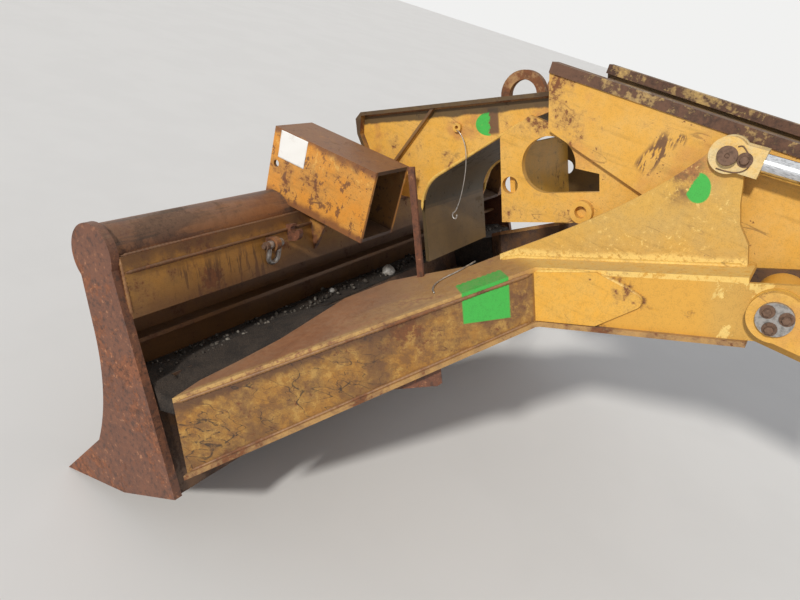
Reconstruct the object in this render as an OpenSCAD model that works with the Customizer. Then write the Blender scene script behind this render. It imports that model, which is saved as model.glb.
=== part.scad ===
// Front blade of a forestry skidder: stacking blade, splayed push arms, lift cylinders and the frame nose
// that carries them. Millimetres, +X forward, +Y to the machine's left, +Z up. The origin is the middle of
// the nose's rear face. The blade stands lowered, as the arms' pitch sets it.

/* [Stance] */
// Height difference of the blade's arms, front end down, in degrees
blade_pitch = 23.3; // [15:0.1:30]
// Slope of the nose's top plate, front end down, in degrees
nose_slope = 23.3; // [18:0.1:26]
// Distance of the arm pivots in front of the nose's rear face
pivot_x = 550; // [520:1:620]
// Height of the arm pivots above the origin
pivot_z = 0; // [-20:1:20]
// Radius of the pivot pins
pivot_pin_r = 30; // [24:0.5:36]
// Radial running clearance of pins in their bores
pin_fit = 0.05; // [0.02:0.01:0.1]

/* [Blade] */
// Width of the blade over its end plates
blade_w = 2380; // [2200:10:2600]
// Thickness of an end plate
end_plate_t = 25; // [16:1:32]
// Diameter of the tube along the blade's top
tube_d = 160; // [130:1:168]
// How far an end plate's head stands out round the tube
head_margin = 8; // [4:0.5:16]
// Thickness of the mouldboard's skin
skin_t = 16; // [10:1:20]
// Radius of the mouldboard's curved face
face_r = 640; // [600:5:700]
// Thickness of the cutting edge
edge_t = 25; // [16:1:32]
// Thickness of the blade's back plates
back_t = 12; // [8:1:16]
// Height of the upper back beam's underside above the pivots, along the blade
beam_z = 68; // [40:1:90]
// Height of the lower box's shelf above the pivots, along the blade
shelf_z = -119; // [-140:1:-80]
// Depth of the stiffener bar along the middle of the back
rib_depth = 70; // [40:1:90]

/* [Push boxes] */
// Length of a push box
push_box_l = 424; // [360:1:460]
// Height of a push box
push_box_h = 238; // [200:1:260]
// Width of a push box
push_box_w = 180; // [140:1:200]
// Wall thickness of a push box
push_box_t = 12; // [8:1:16]
// Distance of a push box's inner wall from the middle of the blade
push_box_y = 330; // [310:1:420]
// How far a push box reaches in front of the tube's axis
push_box_front = 48; // [20:1:70]
// Radius of the hole in a push box's outer wall
push_box_hole_r = 12; // [6:0.5:18]

/* [Arms] */
// Distance of an arm's outer face from the middle, behind the bend
arm_y = 467; // [450:1:490]
// Width of an arm behind the bend
arm_w = 157; // [140:1:165]
// Height of an arm behind the bend
arm_h = 169; // [150:1:185]
// Height of an arm where it meets the blade
arm_front_h = 238; // [220:1:250]
// Distance of the arm's bend in front of the pivots
bend_x = 588; // [540:1:620]
// Distance of the arm's front end behind the tube's middle
arm_gap = 188; // [182:1:192]
// Thickness of an arm's plates
arm_t = 14; // [10:1:16]
// How far an arm's bottom plate stands out past its side
lip = 14; // [6:1:20]
// Outer radius of an arm's pivot boss
boss_r = 60; // [50:1:70]
// Thickness of the plate tongue over the bend
tongue_t = 10; // [6:1:12]
// Thickness of the ear that takes the cylinder
ear_t = 26; // [20:1:30]
// Distance of the ear's middle from the middle of the blade
ear_y = 345; // [340:1:352]
// Distance of the cylinder pin in front of the pivots, along the arm
ear_pin_x = 127; // [110:1:145]
// Height of the cylinder pin above the pivots, square to the arm
ear_pin_z = 356; // [330:1:370]
// Radius of the ear's round head
ear_head_r = 42; // [41:1:50]
// Radius of the hole in the ear's head, clear of the pin as the linkage moves
ear_hole_r = 29; // [28:0.5:31]

/* [Cylinders] */
// Distance between a cylinder's two pins with the blade lowered
cylinder_l = 700; // [680:1:720]
// Slope of a lowered blade's cylinder, rear end up, in degrees
cylinder_slope = 3; // [2:0.1:5]
// Outer diameter of a barrel
barrel_d = 84; // [70:1:90]
// Length of a barrel from its pin to the gland's face
barrel_l = 430; // [400:1:450]
// Diameter of a rod
rod_d = 50; // [40:1:60]
// Length of a rod
rod_l = 375; // [350:1:377]
// Radius of the pins at both ends of a cylinder
cylinder_pin_r = 20; // [16:0.5:24]
// Thickness of each plate of a rod's fork
fork_t = 16; // [12:1:18]
// Gap between a fork's plate and the ear
fork_gap = 4; // [3:0.5:6]
// Radius of the fork's round end
fork_r = 44; // [42:1:50]
// Height of a fork's base
fork_h = 68; // [56:1:70]

/* [Nose] */
// Distance of a side plate's outer face from the middle
side_y = 285; // [280:1:288]
// Height of the side plates' top above the origin
side_top = 312; // [300:1:330]
// Distance of an inner plate's outer face from the middle
inner_y = 262; // [258:1:264]
// Distance of a nose plate's outer face from the middle
nose_y = 238; // [232:1:243]
// Thickness of a nose plate
nose_t = 16; // [10:1:18]
// How far the nose's cover stands out past its side plates
nose_lip = 24; // [16:1:24]
// Thickness of the nose's cover and front plate
cover_t = 12; // [8:1:16]
// Outer radius of the curved pan under the nose
pan_r = 144; // [120:1:150]
// Thickness of the curved pan
pan_t = 14; // [10:1:16]
// Length of the nose's cover, along its slope
cover_l = 745; // [720:1:760]

/* [Fittings] */
// Diameter of the shackle's bar
shackle_bar_d = 16; // [12:0.5:18]
// Inside width of the shackle's bow
shackle_bow_w = 44; // [38:1:50]
// Distance of the shackle from the middle of the blade
shackle_y = 642; // [600:1:700]
// Height of the bar that stands on the left arm
post_h = 345; // [300:1:380]
// Outer radius of a tie ring
ring_r = 72; // [60:1:80]
// Hole radius of a tie ring
ring_hole_r = 44; // [34:1:50]

/* [Hidden] */
$fn = 96;
half_w = blade_w / 2;
inside_y = half_w - end_plate_t;

// Blade section, X forward from the pivots and Z square to the arms
tube_x = 1527;
arm_front_x = tube_x - arm_gap;
tube_z = 243;
tube_r = tube_d / 2;
head_r = tube_r + head_margin;
face_x = tube_x + 65;
face_bend = 31;
face_low = -338;
tip_x = tube_x + 420;
tip_z = -487;
foot_x = tube_x + 113;
foot_z = -500;
heel_x = tube_x - 143;
heel_z = -455;
waist_x = tube_x - 91;
waist_z = 48;
back_x = tube_x - tube_r;
box_top_x = tube_x - 99;
box_low_x = tube_x - 135;
box_low_z = -452;
face_cx = face_x + face_r;
edge_run = tip_x - face_cx + sqrt(face_r * face_r - (face_bend - face_low) * (face_bend - face_low));
edge_drop = face_low - tip_z;
edge_h = edge_t * sqrt(edge_run * edge_run + edge_drop * edge_drop) / edge_drop;
face_low_x = face_cx - sqrt(face_r * face_r - (face_bend - face_low) * (face_bend - face_low));

// Arm section behind the bend
arm_top = arm_h / 2 - 3;
arm_low = arm_top - arm_h;
arm_in_y = arm_y - arm_w;
front_y = inside_y - 1;
front_top = -147;
front_low = front_top - arm_front_h;
splay = atan2(front_y - arm_y, arm_front_x - bend_x);
splay_l = norm([arm_front_x - bend_x, front_y - arm_y]);
deck_drop = (arm_top - front_top) / splay_l;
sole_drop = (arm_low - front_low) / splay_l;
arm_reach = 100 * ceil(splay_l / 100 + 1);
boss_out = 10;
tail_r = arm_h / 2;
outer_line = [[arm_front_x, front_y], [bend_x, arm_y], [-tail_r - 20, arm_y]];
root_far = [arm_front_x - 90, front_y - 333];
root_mid = [arm_front_x - 48, front_y - 207];
root_near = [arm_front_x - 1, front_y - 96];
ledge_far = [arm_front_x - 118, front_y - 619];
inner_line = [[-tail_r - 20, arm_in_y], [arm_front_x - 569, arm_in_y], [arm_front_x - 504, 380],
    [arm_front_x - 339, 405], [arm_front_x - 219, 430], ledge_far, root_far,
    root_mid, root_near, [arm_front_x, front_y - arm_t - 2]];

// Root behind each arm's front end, and the ledge beside it
ledge_y = 330;
ledge_z = -195;
root_low = -290;

// Foot of the bar on the left arm
post_x = arm_front_x - 354;
post_y = 420;

// Shackle's pin, out from the back beam and above the pivots' level along the blade
shackle_out = 30;
shackle_z = 164;
shackle_leg = 44;

// Cylinder line: pin at the ear and pin at the nose, in the model's own frame
ear_pin = [pivot_x + ear_pin_x * cos(blade_pitch) + ear_pin_z * sin(blade_pitch),
           pivot_z - ear_pin_x * sin(blade_pitch) + ear_pin_z * cos(blade_pitch)];
anchor = [ear_pin[0] - cylinder_l * cos(cylinder_slope), ear_pin[1] + cylinder_l * sin(cylinder_slope)];
fork_in = ear_t / 2 + fork_gap;
fork_out = fork_in + fork_t;
fork_l = 78;
anchor_lug_t = 14;
anchor_gap = 5;
eye_w = 50;

// Nose, X forward from the pivots and Z square to the nose's slope
cover_z = 536;
cover_front = 1304;
cover_rear = cover_front - cover_l;
pan_c = [956, 205];
pan_low = 20;
pan_rise = 24.9;
pan_rear = 650;
bulkhead_x = 740;
side_low = -150;
side_front = pivot_x + 787;
rail_rear = anchor[0] + 60;
lug_r = 33;
bracket_y = arm_y + boss_out + 12;
bracket_t = 20;

// Frames and helpers
module blade_frame() translate([pivot_x, 0, pivot_z]) rotate([0, blade_pitch, 0]) children();

module nose_frame() translate([pivot_x, 0, pivot_z]) rotate([0, nose_slope, 0]) children();

module cylinder_frame() translate([anchor[0], 0, anchor[1]]) rotate([0, cylinder_slope, 0]) children();

module slab(y0, y1) translate([0, y1, 0]) rotate([90, 0, 0]) linear_extrude(y1 - y0) children();

module rod_y(x, z, r, y0, y1) translate([x, y0, z]) rotate([-90, 0, 0]) cylinder(r = r, h = y1 - y0);

module sides() {
    children();
    mirror([0, 1, 0]) children();
}

module right() mirror([0, 1, 0]) children();

function arc_points(cx, cz, r, a0, a1, n) = [for (i = [0:n]) let (a = a0 + (a1 - a0) * i / n)
    [cx + r * cos(a), cz + r * sin(a)]];

// The point t to the left of a bend, for a wall of even thickness
function left(p, q) = [p[1] - q[1], q[0] - p[0]] / norm(q - p);

function inset(line, i, t) = let (m = len(line) - 1,
    a = i > 0 ? left(line[i - 1], line[i]) : left(line[0], line[1]),
    b = i < m ? left(line[i], line[i + 1]) : left(line[m - 1], line[m]))
    line[i] + t * (a + b) / (1 + a * b);

function inset_line(line, t) = [for (i = [0:len(line) - 1]) inset(line, i, t)];

function reversed(line) = [for (i = [len(line) - 1:-1:0]) line[i]];

function curve(p0, p1, p2, n) = [for (i = [0:n]) let (t = i / n)
    (1 - t) * (1 - t) * p0 + 2 * t * (1 - t) * p1 + t * t * p2];

// Blade
module face_ring(r0, r1) {
    intersection() {
        translate([face_cx, face_bend]) difference() {
            circle(r = r1);
            circle(r = r0);
        }
        translate([face_x - 200, face_low]) square([face_low_x - face_x + 200, face_bend - face_low]);
    }
}

module mouldboard_section() {
    face_ring(face_r, face_r + skin_t);
    difference() {
        translate([face_x - skin_t, face_bend]) square([skin_t, tube_z - face_bend]);
        translate([tube_x, tube_z]) circle(r = tube_r);
    }
}

module mouldboard() color("peru") blade_frame() slab(-inside_y, inside_y) mouldboard_section();

module cutting_edge() color("sienna") blade_frame() slab(-inside_y, inside_y) polygon([[tip_x, tip_z],
    [face_low_x, face_low], [face_low_x - edge_h, face_low], [tip_x - edge_h, tip_z]]);

module top_tube() color("saddlebrown") blade_frame() difference() {
    rod_y(tube_x, tube_z, tube_r, -inside_y, inside_y);
    rod_y(tube_x, tube_z, tube_r - 10, -inside_y - 1, inside_y + 1);
}

module end_plate_outline() {
    translate([tube_x, tube_z]) circle(r = head_r);
    difference() {
        polygon([[face_low_x + 6, face_low], [face_x + 4, face_bend], [face_x + 4, tube_z - 10],
            [tube_x, tube_z], [tube_x - head_r + 12, tube_z - 10], [waist_x, waist_z], [heel_x, heel_z],
            [foot_x, foot_z], [tip_x, tip_z]]);
        intersection() {
            translate([face_cx, face_bend]) circle(r = face_r - 4);
            translate([face_x - 100, face_low]) square([face_r, face_bend - face_low]);
        }
    }
}

module end_plate() blade_frame() slab(inside_y, half_w) end_plate_outline();

module end_plate_left() color("sienna") end_plate();

module end_plate_right() color("sienna") right() end_plate();

module back_beam() color("goldenrod") blade_frame() slab(-inside_y, inside_y) {
    translate([back_x - back_t, beam_z]) square([back_t, tube_z - 7 - beam_z]);
    translate([back_x, beam_z]) square([face_x - skin_t - back_x, back_t]);
}

module middle_rib() color("darkgoldenrod") blade_frame() slab(-inside_y, inside_y) difference() {
    rib_z = (beam_z + shelf_z) / 2;
    rib_x = face_cx - sqrt(pow(face_r + skin_t, 2) - pow(face_bend - rib_z, 2));
    translate([rib_x - rib_depth, rib_z]) square([rib_depth + 20, back_t]);
    translate([face_cx, face_bend]) circle(r = face_r + skin_t);
}

// The lower box closes the mouldboard's foot: shelf on top, back plate where the arms meet, sole below
function edge_back(x) = face_low - (x - face_low_x + edge_h) * edge_drop / edge_run;

module lower_box_outline(t) {
    sole_x = tip_x - edge_h - 10 - 2 * t;
    rear = [[foot_x, foot_z + 12], [box_low_x, box_low_z], [box_top_x, shelf_z], [face_low_x, shelf_z]];
    polygon(concat(reversed(inset_line(rear, -t)), [[sole_x, edge_back(sole_x) - 0.1],
        [face_low_x - edge_h, face_low], [face_low_x, face_low]]));
}

module lower_box() color("darkgoldenrod") blade_frame() slab(-inside_y, inside_y) difference() {
    lower_box_outline(0);
    lower_box_outline(back_t);
    intersection() {
        translate([face_cx, face_bend]) circle(r = face_r + skin_t);
        translate([face_x - 200, face_low]) square([400, 400]);
    }
}

// Push boxes: open rectangular tubes that sit level on the top tube of a lowered blade
module push_box_frame() translate([tube_x, 0, tube_z]) rotate([0, -blade_pitch, 0]) children();

module push_box() {
    low = 54;
    x0 = push_box_front - push_box_l;
    blade_frame() difference() {
        push_box_frame() difference() {
            translate([x0, push_box_y, low]) cube([push_box_l, push_box_w, push_box_h]);
            translate([x0 - 1, push_box_y + push_box_t, low + push_box_t])
                cube([push_box_l + 2, push_box_w - 2 * push_box_t, push_box_h - 2 * push_box_t]);
            rod_y(push_box_front - 27, low + 118, push_box_hole_r,
                push_box_y + push_box_w - push_box_t - 1, push_box_y + push_box_w + 1);
        }
        rod_y(tube_x, tube_z, tube_r, push_box_y - 1, push_box_y + push_box_w + 1);
    }
}

module push_box_left() color("chocolate") push_box();

module push_box_right() color("chocolate") right() push_box();

module box_gussets() color("saddlebrown") blade_frame() sides() difference() {
    mid = push_box_y + push_box_w / 2;
    slab(mid - 8, mid + 8) polygon([[back_x - back_t, beam_z + 30], [back_x - back_t, tube_z + 60],
        [back_x - 190, tube_z + 90]]);
    rod_y(tube_x, tube_z, tube_r, mid - 9, mid + 9);
    push_box_frame() translate([-600, mid - 20, 54]) cube([700, 40, 300]);
}

module shackle_lug() color("sienna") blade_frame() difference() {
    slab(shackle_y - 10, shackle_y + 10) {
        translate([back_x - back_t - shackle_out, shackle_z]) circle(r = 22);
        translate([back_x - back_t - shackle_out, shackle_z - 22]) square([shackle_out, 44]);
    }
    rod_y(back_x - back_t - shackle_out, shackle_z, shackle_bar_d / 2 + 1.5, shackle_y - 11, shackle_y + 11);
}

module hook_lug() color("sienna") blade_frame() slab(530, 550) difference() {
    union() {
        translate([back_x - back_t - 28, 182]) circle(r = 28);
        translate([back_x - back_t - 28, 154]) square([28, 56]);
    }
    translate([back_x - back_t - 30, 192]) circle(r = 12);
    translate([back_x - back_t - 60, 192]) square([30, 30]);
}

// Arms: a splayed, tapering box beam in front of the bend and a level one behind it. The deck and the sole
// of the front beam fall along the splay and lie level across it.
module splay_frame() translate([bend_x, arm_y, 0]) rotate([0, 0, splay]) children();

function deck_z(x, y) = arm_top - max(0, (x - bend_x) * cos(splay) + (y - arm_y) * sin(splay)) * deck_drop;

function deck_line(dz) = [[-arm_reach, arm_top + dz], [0, arm_top + dz],
    [arm_reach, arm_top + dz - arm_reach * deck_drop]];

function sole_line(dz) = [[-arm_reach, arm_low + dz], [0, arm_low + dz],
    [arm_reach, arm_low + dz - arm_reach * sole_drop]];

module arm_layer(lower, upper) splay_frame() slab(-arm_reach, arm_reach)
    polygon(concat(lower, reversed(upper)));

module arm_body() arm_layer(sole_line(0), deck_line(0));

module upright() translate([0, 0, -arm_reach / 2]) linear_extrude(arm_reach) children();

module arm_wall(line) intersection() {
    arm_layer(sole_line(arm_t), deck_line(-arm_t));
    slab(0, inside_y) difference() {
        union() {
            translate([0, -arm_reach / 2]) square([arm_front_x, arm_reach]);
            translate([0, arm_top - tail_r]) circle(r = tail_r);
        }
        circle(r = boss_r);
    }
    upright() polygon(concat(line, reversed(inset_line(line, arm_t))));
}

module arm_outer() blade_frame() arm_wall(outer_line);

module arm_outer_left() color("goldenrod") arm_outer();

module arm_outer_right() color("goldenrod") right() arm_outer();

module arm_inner() blade_frame() difference() {
    arm_wall(inner_line);
    upright() polygon(concat(outer_line, reversed(inset_line(outer_line, arm_t))));
}

module arm_inner_left() color("goldenrod") arm_inner();

module arm_inner_right() color("goldenrod") right() arm_inner();

module arm_plate(out) blade_frame() intersection() {
    children();
    upright() intersection() {
        polygon(concat([for (p = outer_line) p + [0, out]], inner_line));
        translate([boss_r, 0]) square([arm_front_x, inside_y + lip]);
    }
}

module arm_top() arm_plate(0) arm_layer(deck_line(-arm_t), deck_line(0));

module arm_top_left() color("peru") arm_top();

module arm_top_right() color("peru") right() arm_top();

module arm_bottom() arm_plate(lip) arm_layer(sole_line(0), sole_line(arm_t));

module arm_bottom_left() color("goldenrod") arm_bottom();

module arm_bottom_right() color("goldenrod") right() arm_bottom();

// The root: a closed duct from the arm's front end to the lower box, and a ledge toward the middle
module arm_root() blade_frame() difference() {
    front = face_x;
    union() {
        translate([0, 0, root_low]) linear_extrude(ledge_z - root_low) difference() {
            polygon([root_far, [front, root_far[1]], [front, root_near[1]], root_near, root_mid]);
            translate([root_far[0] - 1, root_far[1] + arm_t])
                square([front, root_near[1] - root_far[1] - 2 * arm_t]);
        }
        for (z = [root_low, ledge_z - arm_t]) translate([0, 0, z]) linear_extrude(arm_t)
            polygon([root_far, [front, root_far[1]], [front, root_near[1]], root_near, root_mid]);
        translate([0, 0, ledge_z - arm_t]) linear_extrude(arm_t) polygon([[ledge_far[0], ledge_y],
            [front, ledge_y], [front, root_near[1]], root_near, root_mid, root_far, ledge_far]);
    }
    slab(0, inside_y) lower_box_outline(0);
    slab(0, inside_y) translate([face_x - 100, -arm_reach / 2]) square([200, arm_reach]);
}

module arm_root_left() color("sienna") arm_root();

module arm_root_right() color("sienna") right() arm_root();

module tongues() color("gold") blade_frame() sides() slab(arm_y, arm_y + tongue_t) polygon(concat(
    [[bend_x, arm_low + arm_t + 2], [420, arm_low + arm_t + 2]],
    arc_points(320, 5, 20, 240, 120, 8),
    [[415, arm_top - 4], [bend_x, arm_top - 12]]));

module ear_outline() {
    ear_base = arm_top - 20;
    difference() {
        union() {
            polygon(concat([[746, ear_base]], curve([746, 89], [300, 245], [ear_pin_x + ear_head_r * 0.72, ear_pin_z + ear_head_r * 0.5], 14),
                [[ear_pin_x - ear_head_r * 0.85, ear_pin_z - ear_head_r * 0.2]],
                [[95, 282], [99, 234], [97, 184], [77, 135], [76, ear_base]]));
            translate([ear_pin_x, ear_pin_z]) circle(r = ear_head_r);
        }
        translate([ear_pin_x, ear_pin_z]) circle(r = ear_hole_r);
    }
}

module ear() blade_frame() difference() {
    slab(ear_y - ear_t / 2, ear_y + ear_t / 2) ear_outline();
    arm_body();
}

module ear_left() color("orange") ear();

module ear_right() color("orange") right() ear();

module pivot_bosses() color("goldenrod") blade_frame() sides() difference() {
    rod_y(0, 0, boss_r, arm_in_y - boss_out, arm_y + boss_out);
    rod_y(0, 0, pivot_pin_r + pin_fit, arm_in_y - boss_out - 1, arm_y + boss_out + 1);
}

module marker_post() color("saddlebrown") blade_frame() difference() {
    translate([post_x, post_y, deck_z(post_x, post_y) - 20]) cube([22, 9, post_h + 20]);
    arm_body();
}

// Nose of the frame
module frame_side_outline() polygon([[0, side_low], [0, side_top], [side_front, side_top],
    [side_front - 54, 165], [943, 89], [860, 40], [800, -90], [600, side_low]]);

module frame_sides() color("orange") sides() slab(inner_y, side_y) frame_side_outline();

module top_rails() color("dimgray") sides() translate([rail_rear, side_y - 44, side_top])
    cube([side_front - rail_rear, 50, 30]);

module inner_outline() {
    difference() {
        polygon([[779, 170], [771, 431], [672, 487], [617, 462], [300, 330], [300, 170]]);
        translate([746, 285]) circle(r = 26);
        translate([621, 341]) circle(r = 83);
        polygon([[621, 258], [470, 258], [470, 310], [590, 341]]);
    }
}

module inner_plates() color("gold") sides() nose_frame() slab(nose_y, inner_y) inner_outline();

module side_eyes() color("orange") sides() nose_frame() difference() {
    rod_y(519, 204, lug_r, inner_y, side_y);
    rod_y(519, 204, lug_r - 15, inner_y - 1, side_y + 1);
}

// The pan's profile t inside its outer face: upright front from height z, round corner, run rising rearward to x
function pan_line(t, z, x) = let (r = pan_r - t, a = asin(max(0, (z - pan_c[1]) / r)))
    concat(z < pan_c[1] ? [[pan_c[0] + r, z]] : [], arc_points(pan_c[0], pan_c[1], r, a, 90 - pan_rise, 12),
        [[x, pan_c[1] + r * cos(pan_rise) + (pan_c[0] + r * sin(pan_rise) - x) * tan(pan_rise)]]);

module nose_outline() polygon(concat([[cover_rear, cover_z - 26], [cover_rear, cover_z],
    [cover_front - 14, cover_z], [cover_front - 2, cover_z - 60], [1258, 347], [1240, 275]],
    pan_line(pan_t, 238, 690)));

module nose_plates() color("goldenrod") sides() nose_frame() {
    slab(nose_y - nose_t, nose_y) nose_outline();
    slab(nose_y - 1, nose_y + nose_lip - 6) polygon([[1000, cover_z], [1012, cover_z], [1196, 361], [1184, 361]]);
}

module nose_cover() color("saddlebrown") nose_frame() slab(-nose_y - nose_lip, nose_y + nose_lip)
    polygon([[cover_rear, cover_z], [cover_rear, cover_z + cover_t], [cover_front - 14, cover_z + cover_t],
        [cover_front + cover_t - 2, cover_z - 8], [cover_front + cover_t - 2, cover_z - 60],
        [1258 + cover_t, 347], [1240 + cover_t, 275], [1240, 275], [1258, 347], [cover_front - 2, cover_z - 60],
        [cover_front - 14, cover_z]]);

module nose_pan() color("saddlebrown") nose_frame() slab(-nose_y + nose_t, nose_y - nose_t)
    polygon(concat(pan_line(0, pan_low, pan_rear), reversed(pan_line(pan_t, pan_low, pan_rear))));

module nose_bulkhead() color("peru") nose_frame() slab(-nose_y, nose_y)
    translate([bulkhead_x, 170]) square([nose_t, 230]);

module tie_rings() color("orange") sides() nose_frame() slab(170, 195) difference() {
    translate([720, cover_z + cover_t]) circle(r = ring_r);
    translate([720, cover_z + cover_t]) circle(r = ring_hole_r);
    translate([500, cover_z + cover_t - 200]) square([400, 200]);
}

module pad_eye() color("orange") nose_frame() slab(nose_y, nose_y + 14) difference() {
    translate([925, 470]) circle(r = 14);
    translate([925, 470]) circle(r = 6);
}

module pivot_tube() color("orange") difference() {
    rod_y(pivot_x, pivot_z, boss_r, -inner_y, inner_y);
    rod_y(pivot_x, pivot_z, pivot_pin_r, -side_y, side_y);
}

module pivot_pins() color("silver") sides() {
    rod_y(pivot_x, pivot_z, pivot_pin_r, side_y, bracket_y + bracket_t);
    rod_y(pivot_x, pivot_z, pivot_pin_r + 10, bracket_y + bracket_t, bracket_y + bracket_t + 12);
}

// Each bracket is a plate outside the arm, carried round the arm's tail by a web on the side plate
module pivot_brackets() color("orange") sides() difference() {
    union() {
        slab(bracket_y, bracket_y + bracket_t) bracket_outline();
        slab(side_y, bracket_y) intersection() {
            bracket_outline();
            translate([pivot_x - tail_r - 45, pivot_z - boss_r]) square([22, 2 * boss_r]);
        }
    }
    rod_y(pivot_x, pivot_z, pivot_pin_r, bracket_y - 1, bracket_y + bracket_t + 1);
}

module bracket_outline() {
    translate([pivot_x, pivot_z]) circle(r = boss_r);
    translate([pivot_x - tail_r - 45, pivot_z - boss_r + 4]) square([tail_r + 45, 2 * boss_r - 8]);
}

module cylinder_anchors() color("orange") sides() {
    in_y = ear_y - eye_w / 2 - anchor_gap;
    out_y = ear_y + eye_w / 2 + anchor_gap;
    slab(side_y, in_y) anchor_outline();
    slab(out_y, out_y + anchor_lug_t) anchor_outline();
    slab(side_y, out_y) translate([0, anchor[1] - 75]) square([anchor[0] + 30, 14]);
    rod_y(anchor[0], anchor[1], cylinder_pin_r, in_y, out_y);
}

module anchor_outline() {
    translate([anchor[0], anchor[1]]) circle(r = 45);
    translate([0, anchor[1] - 75]) square([anchor[0] + 30, 75]);
}

module rear_plate() color("orange") translate([0, -inner_y, side_low])
    cube([20, 2 * inner_y, side_top - side_low]);

// Lift cylinders, drawn along their own line from the nose's pin
module barrel() translate([0, ear_y, 0]) cylinder_frame() difference() {
    union() {
        rod_y(0, 0, 40, -eye_w / 2, eye_w / 2);
        translate([0, -eye_w / 2, -33]) cube([62, eye_w, 66]);
        translate([60, 0, 0]) rotate([0, 90, 0]) cylinder(d = barrel_d, h = barrel_l - 60);
        translate([barrel_l - 46, 0, 0]) rotate([0, 90, 0]) cylinder(d = barrel_d + 8, h = 46);
    }
    rod_y(0, 0, cylinder_pin_r + pin_fit, -eye_w, eye_w);
    translate([70, 0, 0]) rotate([0, 90, 0]) cylinder(d = rod_d + 2 * pin_fit, h = barrel_l);
}

module barrel_left() color("orange") barrel();

module barrel_right() color("orange") right() barrel();

module rod() translate([0, ear_y, 0]) cylinder_frame()
    translate([cylinder_l - fork_l - rod_l, 0, 0]) rotate([0, 90, 0]) cylinder(d = rod_d, h = rod_l);

module rod_left() color("lightgray") rod();

module rod_right() color("lightgray") right() rod();

module fork() translate([0, ear_y, 0]) cylinder_frame() {
    translate([cylinder_l - fork_l, -fork_out, -fork_h / 2]) cube([20, 2 * fork_out, fork_h]);
    for (y0 = [-fork_out, fork_in]) slab(y0, y0 + fork_t) {
        translate([cylinder_l, 0]) circle(r = fork_r);
        translate([cylinder_l - fork_l + 10, -fork_h / 2]) square([fork_l - 10, fork_h]);
    }
    rod_y(cylinder_l, 0, cylinder_pin_r, -fork_in, fork_in);
    rod_y(cylinder_l, 0, cylinder_pin_r, fork_out, fork_out + 12);
}

module fork_left() color("gold") fork();

module fork_right() color("gold") right() fork();

// Shackle, leaning on the blade's back
module shackle_frame() blade_frame() translate([back_x - back_t - shackle_out, shackle_y, shackle_z])
    rotate([0, -asin((shackle_out - shackle_bar_d / 2 - 0.3) / (shackle_leg + shackle_bow_w / 2)), 0]) children();

module shackle_bow() color("gray") shackle_frame() {
    leg_y = shackle_bow_w / 2;
    bar = shackle_bar_d / 2;
    for (s = [-1, 1]) difference() {
        union() {
            translate([0, s * leg_y, -shackle_leg]) cylinder(r = bar, h = shackle_leg);
            rod_y(0, 0, bar + 5, s * leg_y - bar, s * leg_y + bar);
        }
        rod_y(0, 0, bar + pin_fit, s * leg_y - 20, s * leg_y + 20);
    }
    translate([0, 0, -shackle_leg]) rotate([90, 0, 90]) rotate_extrude(angle = -180) translate([leg_y, 0]) circle(r = bar);
}

module shackle_pin() color("silver") shackle_frame() {
    rod_y(0, 0, shackle_bar_d / 2, -shackle_bow_w / 2 - 14, shackle_bow_w / 2 + 30);
    rod_y(0, 0, shackle_bar_d / 2 + 5, shackle_bow_w / 2 + 9, shackle_bow_w / 2 + 21);
}

mouldboard();
cutting_edge();
top_tube();
end_plate_left();
end_plate_right();
back_beam();
middle_rib();
lower_box();
push_box_left();
push_box_right();
box_gussets();
shackle_lug();
hook_lug();
arm_outer_left();
arm_outer_right();
arm_inner_left();
arm_inner_right();
arm_top_left();
arm_top_right();
arm_bottom_left();
arm_bottom_right();
arm_root_left();
arm_root_right();
tongues();
ear_left();
ear_right();
pivot_bosses();
marker_post();
frame_sides();
top_rails();
inner_plates();
side_eyes();
nose_plates();
nose_cover();
nose_pan();
nose_bulkhead();
tie_rings();
pad_eye();
pivot_tube();
pivot_pins();
pivot_brackets();
cylinder_anchors();
rear_plate();
barrel_left();
barrel_right();
rod_left();
rod_right();
fork_left();
fork_right();
shackle_bow();
shackle_pin();
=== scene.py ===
import math
import bpy
import numpy as np
from mathutils import Matrix, Vector


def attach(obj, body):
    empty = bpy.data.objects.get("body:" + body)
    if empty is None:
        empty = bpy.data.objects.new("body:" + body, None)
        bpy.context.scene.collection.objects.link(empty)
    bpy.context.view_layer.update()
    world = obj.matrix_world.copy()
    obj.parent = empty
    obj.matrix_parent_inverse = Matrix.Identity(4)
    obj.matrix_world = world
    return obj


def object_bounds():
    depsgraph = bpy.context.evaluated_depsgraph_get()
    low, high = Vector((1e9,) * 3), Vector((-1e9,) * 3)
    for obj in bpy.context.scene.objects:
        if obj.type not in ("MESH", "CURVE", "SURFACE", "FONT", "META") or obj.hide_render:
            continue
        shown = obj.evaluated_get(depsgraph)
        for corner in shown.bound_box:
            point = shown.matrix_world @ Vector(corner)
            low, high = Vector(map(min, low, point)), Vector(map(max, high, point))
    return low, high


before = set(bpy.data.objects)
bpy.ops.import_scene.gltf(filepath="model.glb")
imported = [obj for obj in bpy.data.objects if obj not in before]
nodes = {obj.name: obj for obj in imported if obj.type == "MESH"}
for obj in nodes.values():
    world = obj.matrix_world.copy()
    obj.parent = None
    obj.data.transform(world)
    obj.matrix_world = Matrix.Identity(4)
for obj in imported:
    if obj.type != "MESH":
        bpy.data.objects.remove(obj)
cad_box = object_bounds()
SIDES = (("left", 1.0), ("right", -1.0))

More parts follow.
